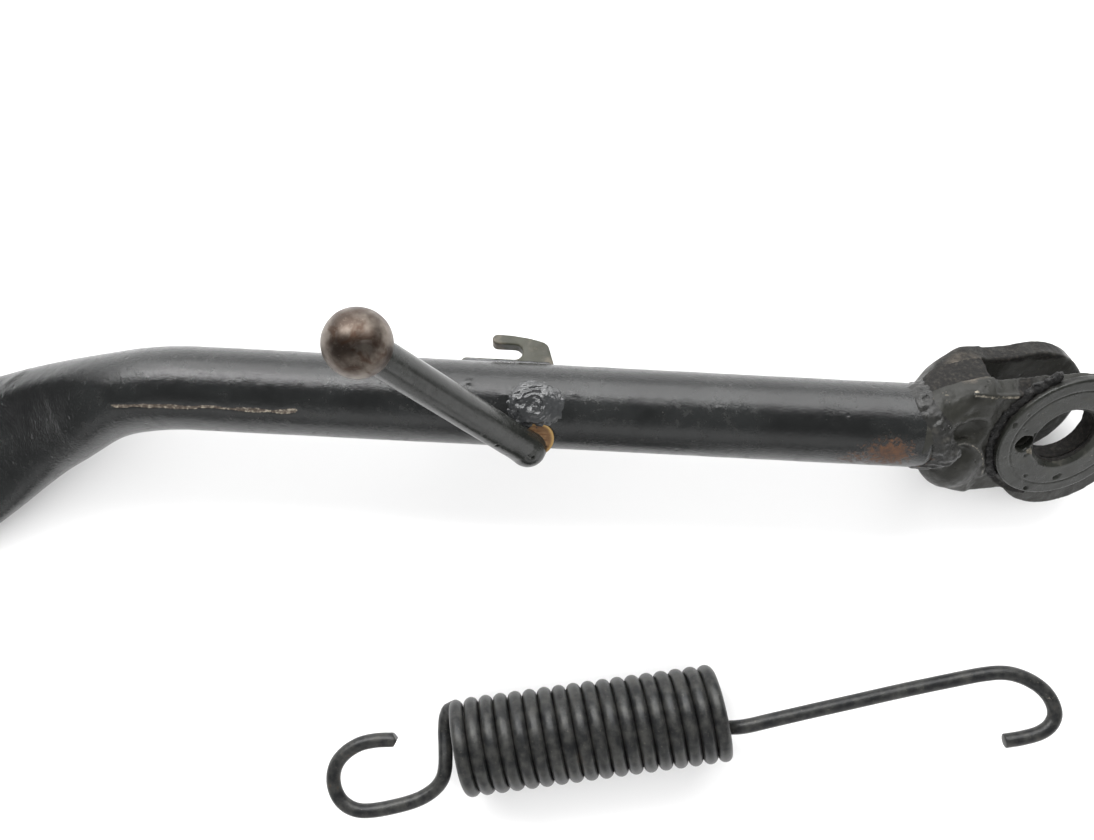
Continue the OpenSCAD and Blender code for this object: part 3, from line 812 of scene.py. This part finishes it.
def peg_field(p):
    d = capsule(p, ROOT, TIP, 4.5)
    ax = (SAW - SAW0) / np.linalg.norm(SAW - SAW0)
    q = p - SAW
    h = q @ ax
    rr = np.linalg.norm(q - h[..., None] * ax, axis=-1)
    stub = np.maximum(rr - 4.5, np.maximum(h + 0.15, -9 - h))
    elbow = capsule(p, ROOT, SAW0 + np.array([0, -1.2, 0.0]), 4.4)
    d = smin(d, elbow, 1.2)
    return smin(d, stub, 0.35)


def peg():
    def f(p):
        d = np.maximum(peg_field(p), -(tube_field(p) + 0.4)) + 0.035 * fbm(p, 5, 51)
        for c, r in (((-147.3, -15.6, 27.6), 0.55), ((-145.2, -18.6, 23.6), 0.6), ((-138.6, -18.6, 20.4), 0.5), ((-139.6, -17.9, 20.8), 0.45), ((-151.5, -10.6, 30.4), 0.4)):
            d = smax(d, -(np.linalg.norm(p - np.array(c), axis=-1) - r), 0.12)
        return d
    v, fc = surface_nets(f, (-183.5, -23, 5), (-131.5, 11, 66), 0.36)
    mesh_object("peg_bar", v, fc, "stand", ("peg_rod",), M_ROD, zeros(len(v)))
    # sawn face
    ax = (SAW - SAW0) / np.linalg.norm(SAW - SAW0)
    u = np.cross(ax, [1, 0, 0.0]); u /= np.linalg.norm(u); w = np.cross(ax, u)
    rings = []; rim = []
    a = np.arange(64) * 2 * math.pi / 64
    for r, h, k in ((4.46, -1.3, 1), (4.5, -0.1, 1), (4.46, 0.14, 1), (4.3, 0.2, 1), (4.05, 0.12, 0.6), (3.6, 0.02, 0), (2.6, 0.03, 0), (1.3, 0.02, 0), (0.15, 0.02, 0)):
        rr = r + 0.05 * np.sin(a * 3 + r)
        rings.append(SAW + ax * h + rr[:, None] * (np.cos(a)[:, None] * u + np.sin(a)[:, None] * w)); rim += [k] * 64
    v, fc = tube_mesh(rings)
    mesh_object("peg_sawn_face", v, fc, "stand", (), sawn_material(SAW, ax), {"rim": np.array(rim, float)})


peg()


def ball():
    bm_v = []
    c = TIP
    def f(p):
        q = p - c
        r = np.linalg.norm(q, axis=-1)
        d = r - 8.0
        return d + 0.07 * fbm(p, 5.0, 61) + 0.02 * noise(p, 1.5, 62)
    v, fc = surface_nets(f, c - 9, c + 9, 0.3)
    q = (v - c) / 8.0
    up = q[:, 2] * 0.8 + q[:, 1] * 0.3
    mesh_object("peg_ball_end", v, fc, "stand", ("peg_ball",), M_BALL, {"wear": np.clip(0.45 + 0.5 * up, 0, 1)})


ball()


def peg_weld():
    c = np.array([-138.6, -5.4, TUBE_Z + TUBE_R])
    def f(p):
        tf = tube_field(p)
        q = p - c
        # distance over the tube's surface from the blob's middle
        ang = np.arctan2(p[..., 2] - TUBE_Z, p[..., 1] - TUBE_Y)
        s = (ang - math.pi / 2) * TUBE_R
        r = length(q[..., 0], (-s - 0.0))
        rr = length(q[..., 0] * 0.92, s)
        phi = np.arctan2(s, q[..., 0])
        wob = 0.9 * noise(p, 3.4, 74) + 0.5 * noise(p, 1.6, 75)
        ring = np.abs(np.sin((rr + wob) * 2.1)) ** 2.2
        h = 1.25 * np.clip(1 - (rr / 6.7) ** 3, -0.4, 1) - 0.55 * np.exp(-(rr / 2.3) ** 2) + 0.42 * ring * np.clip(1.15 - rr / 7.2, 0, 1)
        h = h + 0.26 * noise(p, 1.3, 71) + 0.22 * noise(p, 2.6, 72) + 0.12 * noise(p, 0.7, 76)
        d = (tf - h) * 0.7
        # run of weld towards the bar's root
        run = capsule(p, (-142.6, -11.0, 17.3), (-141.0, -8.2, 18.6), 1.9) + 0.35 * noise(p, 1.3, 73)
        d = smin(d, run, 1.2)
        d = np.maximum(d, -(tf + 0.5))
        d = np.maximum(d, rr - 8.2)
        return d
    v, fc = surface_nets(f, (-148, -17, 12), (-129, 4, 24.5), 0.26)
    mesh_object("peg_weld_blob", v, fc, "stand", ("peg_weld",), M_WELD, zeros(len(v), wear=0.3 * (noise(v, 1.4, 77) > 0.45)))


peg_weld()

# ---------------------------------------------------------------- hook plate
TL = math.radians(22)
TS = np.array([0, math.cos(TL), -math.sin(TL)]); TN = np.array([0, math.sin(TL), math.cos(TL)])


def arc(c, r, a0, a1, k=14):
    return [(c[0] + r * math.cos(math.radians(a0 + (a1 - a0) * i / k)), c[1] + r * math.sin(math.radians(a0 + (a1 - a0) * i / k))) for i in range(k + 1)]


TAB = [(-159.3, 9)] + arc((-157.6, 10.6), 1.7, 180, 90) + arc((-145, 14.45), 2.15, -90, 90) + arc((-149.7, 18.05), 1.45, 270, 90) + \
    [(-145.7, 19.35), (-140.8, 18.7)] + arc((-138.5, 15.1), 2.9, 75, 10) + [(-134.3, 11.3), (-134.1, 9)]


def poly_field(x, y, pts):
    """Signed distance to a closed polygon."""
    d = np.full(x.shape, 1e9); s = np.zeros(x.shape, bool)
    for i in range(len(pts)):
        (ax, ay), (bx, by) = pts[i], pts[(i + 1) % len(pts)]
        ex, ey = bx - ax, by - ay
        t = np.clip(((x - ax) * ex + (y - ay) * ey) / max(ex * ex + ey * ey, 1e-12), 0, 1)
        d = np.minimum(d, (x - ax - t * ex) ** 2 + (y - ay - t * ey) ** 2)
        c = ((ay > y) != (by > y)) & (x < (bx - ax) * (y - ay) / (by - ay if by != ay else 1e-12) + ax)
        s ^= c
    return np.where(s, -1, 1) * np.sqrt(d)


def tab():
    def f(p):
        q = p - np.array([0, TUBE_Y, TUBE_Z])
        s, n = q @ TS, q @ TN
        d = extrude(poly_field(p[..., 0], s, TAB), n, -2, 2, 0.38)
        d = np.maximum(d, -(tube_field(p) + 0.4))
        return d + 0.04 * fbm(p, 3, 81)
    v, fc = surface_nets(f, (-161, 2, -3.5), (-132.5, 15.5, 9.5), 0.3)
    mesh_object("hook_plate", v, fc, "stand", ("spring_tab",), M_TAB, zeros(len(v), primer=0.45 + 0.25 * noise(v, 5, 83)))

    def fw(p):
        q = p - np.array([0, TUBE_Y, TUBE_Z])
        s, n = q @ TS, q @ TN
        x = p[..., 0]
        rip = 0.05 * np.sin(x * 1.6) + 0.10 * noise(p, 2.4, 91)
        d = 1e9
        for side in (-1, 1):
            c = length(s - 10.6, n - side * 1.7, np.maximum(np.abs(x + 146.7) - 10.6, 0)) - 1.35 - rip
            d = np.minimum(d, c)
        return np.maximum(d, -(tube_field(p) + 0.4))
    v, fc = surface_nets(fw, (-160.5, 1, -2.5), (-133, 8.5, 9.5), 0.3)
    mesh_object("hook_plate_weld", v, fc, "stand", ("tab_weld",), M_WELD, zeros(len(v)))


tab()

# ---------------------------------------------------------------- spring, one wire
SA = math.radians(10.8)
SE = np.array([math.cos(SA), math.sin(SA), 0]); SG = np.array([-math.sin(SA), math.cos(SA), 0])
S0 = np.array([-154.8, -101.2, FLOOR + 13.3])
WIRE, COIL_R, PITCH, TURNS = 2.0, 11.3, 4.12, 18


def bez(p, k):
    """Smooth dense curve through the points (Catmull-Rom)."""
    p = np.asarray(p, float)
    out = []
    for i in range(len(p) - 1):
        for j in range(k):
            out.append(catmull(p, i + j / k))
    out.append(p[-1])
    return np.array(out)


def spring():
    # coil: station, y, z in the spring's own frame; it turns from +y over the top towards -y as it goes right
    t0, t1 = -0.02, TURNS - 1 + 0.55
    th = np.linspace(t0, t1, int((t1 - t0) * 56))
    coil = np.stack([0.45 + 0.0 + PITCH * th, COIL_R * np.cos(2 * math.pi * th), COIL_R * np.sin(2 * math.pi * th)], 1)
    left = np.array([(-18.4, 4.9, 0.0), (-23.1, 5.3, 0.0), (-27.4, 4.9, 0), (-31.4, 3.2, 0), (-34.3, 0.6, 0), (-35.8, -2.7, 0), (-35.9, -6.6, 0),
                     (-34.4, -10.3, 0), (-31.2, -12.9, 0), (-27.0, -13.8, 0), (-20.5, -13.6, 0), (-14.6, -12.8, 0), (-10.9, -11.6, 0), (-8.1, -10.0, 0),
                     (-6.1, -7.9, 0), (-5.0, -5.4, -0.4), (-4.5, -2.6, -1.2), (-4.2, 1.0, -2.6), (-3.9, 4.6, -3.8), (-3.2, 8.0, -3.8), (-2.0, 10.4, -2.6)])
    right = np.array([(73.6, -8.6, -6.4), (74.6, -6.0, -4.6), (75.4, -5.2, -2.2), (77.2, -5.0, -0.8), (80.5, -4.8, -0.2), (86, -4.2, 0), (97, -3.2, 0), (110, -2.1, 0), (124, -0.9, 0),
                      (137, 0.0, 0), (146, 0.5, 0), (152, 0.2, 0), (156.7, -1.4, 0), (160.8, -4.2, 0), (163.6, -7.6, 0), (164.9, -11.3, 0),
                      (164.5, -14.2, 0), (162.6, -16.5, 0), (159.4, -17.9, 0), (154.6, -18.5, 0), (150.2, -18.6, 0)])
    path = np.concatenate([bez(left, 6)[:-1], coil, bez(right, 6)])
    # drop doubled and crowded points
    keep = [0]
    for i in range(1, len(path)):
        if np.linalg.norm(path[i] - path[keep[-1]]) > 0.25:
            keep.append(i)
    path = path[keep]
    world = S0 + path[:, :1] * SE + path[:, 1:2] * SG + path[:, 2:3] * np.array([0, 0, 1.0])
    T = np.gradient(world, axis=0); T /= np.linalg.norm(T, axis=1)[:, None]
    sides = 20
    a = np.arange(sides) * 2 * math.pi / sides
    # reference direction: set sideways at the start and carried along the wire
    rings = []
    u = np.cross(T[0], [0, 0, 1.0])
    s_all = path[:, 0]
    for i in range(len(world)):
        u = u - (u @ T[i]) * T[i]; u /= np.linalg.norm(u)
        w = np.cross(T[i], u)
        rw = WIRE + 0.065 * float(np.clip(s_all[i] / 1.5, 0, 1) * np.clip((73.0 - s_all[i]) / 1.5, 0, 1))
        rings.append(world[i] + rw * (np.cos(a)[:, None] * u + np.sin(a)[:, None] * w))
    # sheared ends
    head, tail = np.array(rings[0]), np.array(rings[-1])
    c0, c1 = world[0], world[-1]
    side = np.abs((head - c0) @ np.cross(T[0], [0, 0, 1.0])) / WIRE
    pre = [c0 + (head - c0) * k - T[0] * (0.35 + 1.15 * (1 - side * k))[:, None] for k in (0.05, 0.35, 0.7, 0.97)]
    post = [c1 + (tail - c1) * k + T[-1] * o for k, o in ((0.95, 0.25), (0.8, 0.4), (0.1, 0.45))]
    v, fc = tube_mesh(pre + rings + post)
    v = v.copy()
    v += 0.03 * noise(v, 3.0, 95)[:, None]
    v[:, 2] = np.maximum(v[:, 2], FLOOR)
    q = v - S0
    ss, yy = q @ SE, q @ SG
    wear = 0.5 * np.clip(1 - np.sqrt((ss - 163) ** 2 + (yy + 8) ** 2) / 9, 0, 1) + 0.3 * np.clip(1 - np.sqrt((ss + 34) ** 2 + (yy + 4) ** 2) / 9, 0, 1)
    ob = mesh_object("return_spring", v, fc, None, (), M_WIRE, {"wear": wear})
    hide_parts("spring_coil", "spring_short_hook", "spring_long_hook")
    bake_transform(ob)


spring()

# ---------------------------------------------------------------- stage, light, camera
def stage():
    m, nt, b = nodes_of("pale_floor")
    g = G(nt)
    n = g.noise(6, 3)
    nt.links.new(g.mix(n, (0.86, 0.86, 0.86), (0.9, 0.9, 0.9)), b.inputs["Base Color"])
    b.inputs["Roughness"].default_value = 0.9
    b.inputs["Specular IOR Level"].default_value = 0.2
    me = bpy.data.meshes.new("floor")
    s = 6.0; z = FLOOR * MM - 0.00002
    me.from_pydata([(-s, -s, z), (s, -s, z), (s, s, z), (-s, s, z)], [], [(0, 1, 2, 3)])
    ob = bpy.data.objects.new("floor", me)
    bpy.context.scene.collection.objects.link(ob)
    me.materials.append(m)


stage()


def area(name, loc, target, size, size_y, power, color=(1, 1, 1)):
    l = bpy.data.lights.new(name, "AREA")
    l.shape = "RECTANGLE"; l.size = size; l.size_y = size_y; l.energy = power; l.color = color
    o = bpy.data.objects.new(name, l)
    o.location = loc
    o.rotation_euler = (Vector(target) - Vector(loc)).to_track_quat("-Z", "Y").to_euler()
    o.visible_camera = False
    bpy.context.scene.collection.objects.link(o)
    return o


w = bpy.data.worlds.new("studio")
bpy.context.scene.world = w
w.use_nodes = True
w.node_tree.nodes["Background"].inputs[0].default_value = (1.0, 1.0, 1.0, 1)
w.node_tree.nodes["Background"].inputs[1].default_value = 0.16

C = Vector((-0.135, -0.03, 0.0))


def box_light(name, elev, half, dist, wide, watts_per_m2, side=1, dx=-0.25):
    """Softbox that spans a range of heights as seen from the leg."""
    e, h = math.radians(elev), 2 * dist * math.tan(math.radians(half))
    return area(name, C + Vector((dx, side * dist * math.cos(e), dist * math.sin(e))), C + Vector((dx, 0, 0)), wide, h, watts_per_m2 * wide * h)


box_light("key_softbox", 34, 23.5, 0.90, 1.7, 13.0)
box_light("key_upper_edge", 52, 3.0, 0.84, 1.7, 10.0)
box_light("key_upper_left", 51, 2.4, 0.82, 0.95, 52.0, dx=-0.55)
box_light("key_lower_edge", 12, 2.0, 0.84, 1.7, 5.0)
box_light("fill_softbox", 31, 17, 1.40, 2.4, 3.0, side=-1, dx=0.0)
area("front_panel", C + Vector((1.15, -0.80, 0.10)), C, 1.3, 0.36, 5.5 * 1.3 * 0.36)
over = area("floor_fill", C + Vector((0.0, -0.1, 1.6)), C, 2.6, 2.6, 36)
over.visible_glossy = False

bpy.context.scene.view_settings.view_transform = "Standard"
bpy.context.scene.view_settings.look = "None"

cam = bpy.data.cameras.new("camera")
cam.sensor_width = 36.0
cam.sensor_fit = "HORIZONTAL"
cam.lens = 1150.0 / 1094.0 * 36.0
cam.clip_start = 0.01
cam.clip_end = 20
co = bpy.data.objects.new("camera", cam)
co.location = (-0.135407, -0.009005, 0.312867)
co.rotation_euler = (0, 0, math.radians(2.97))
bpy.context.scene.collection.objects.link(co)
bpy.context.scene.camera = co
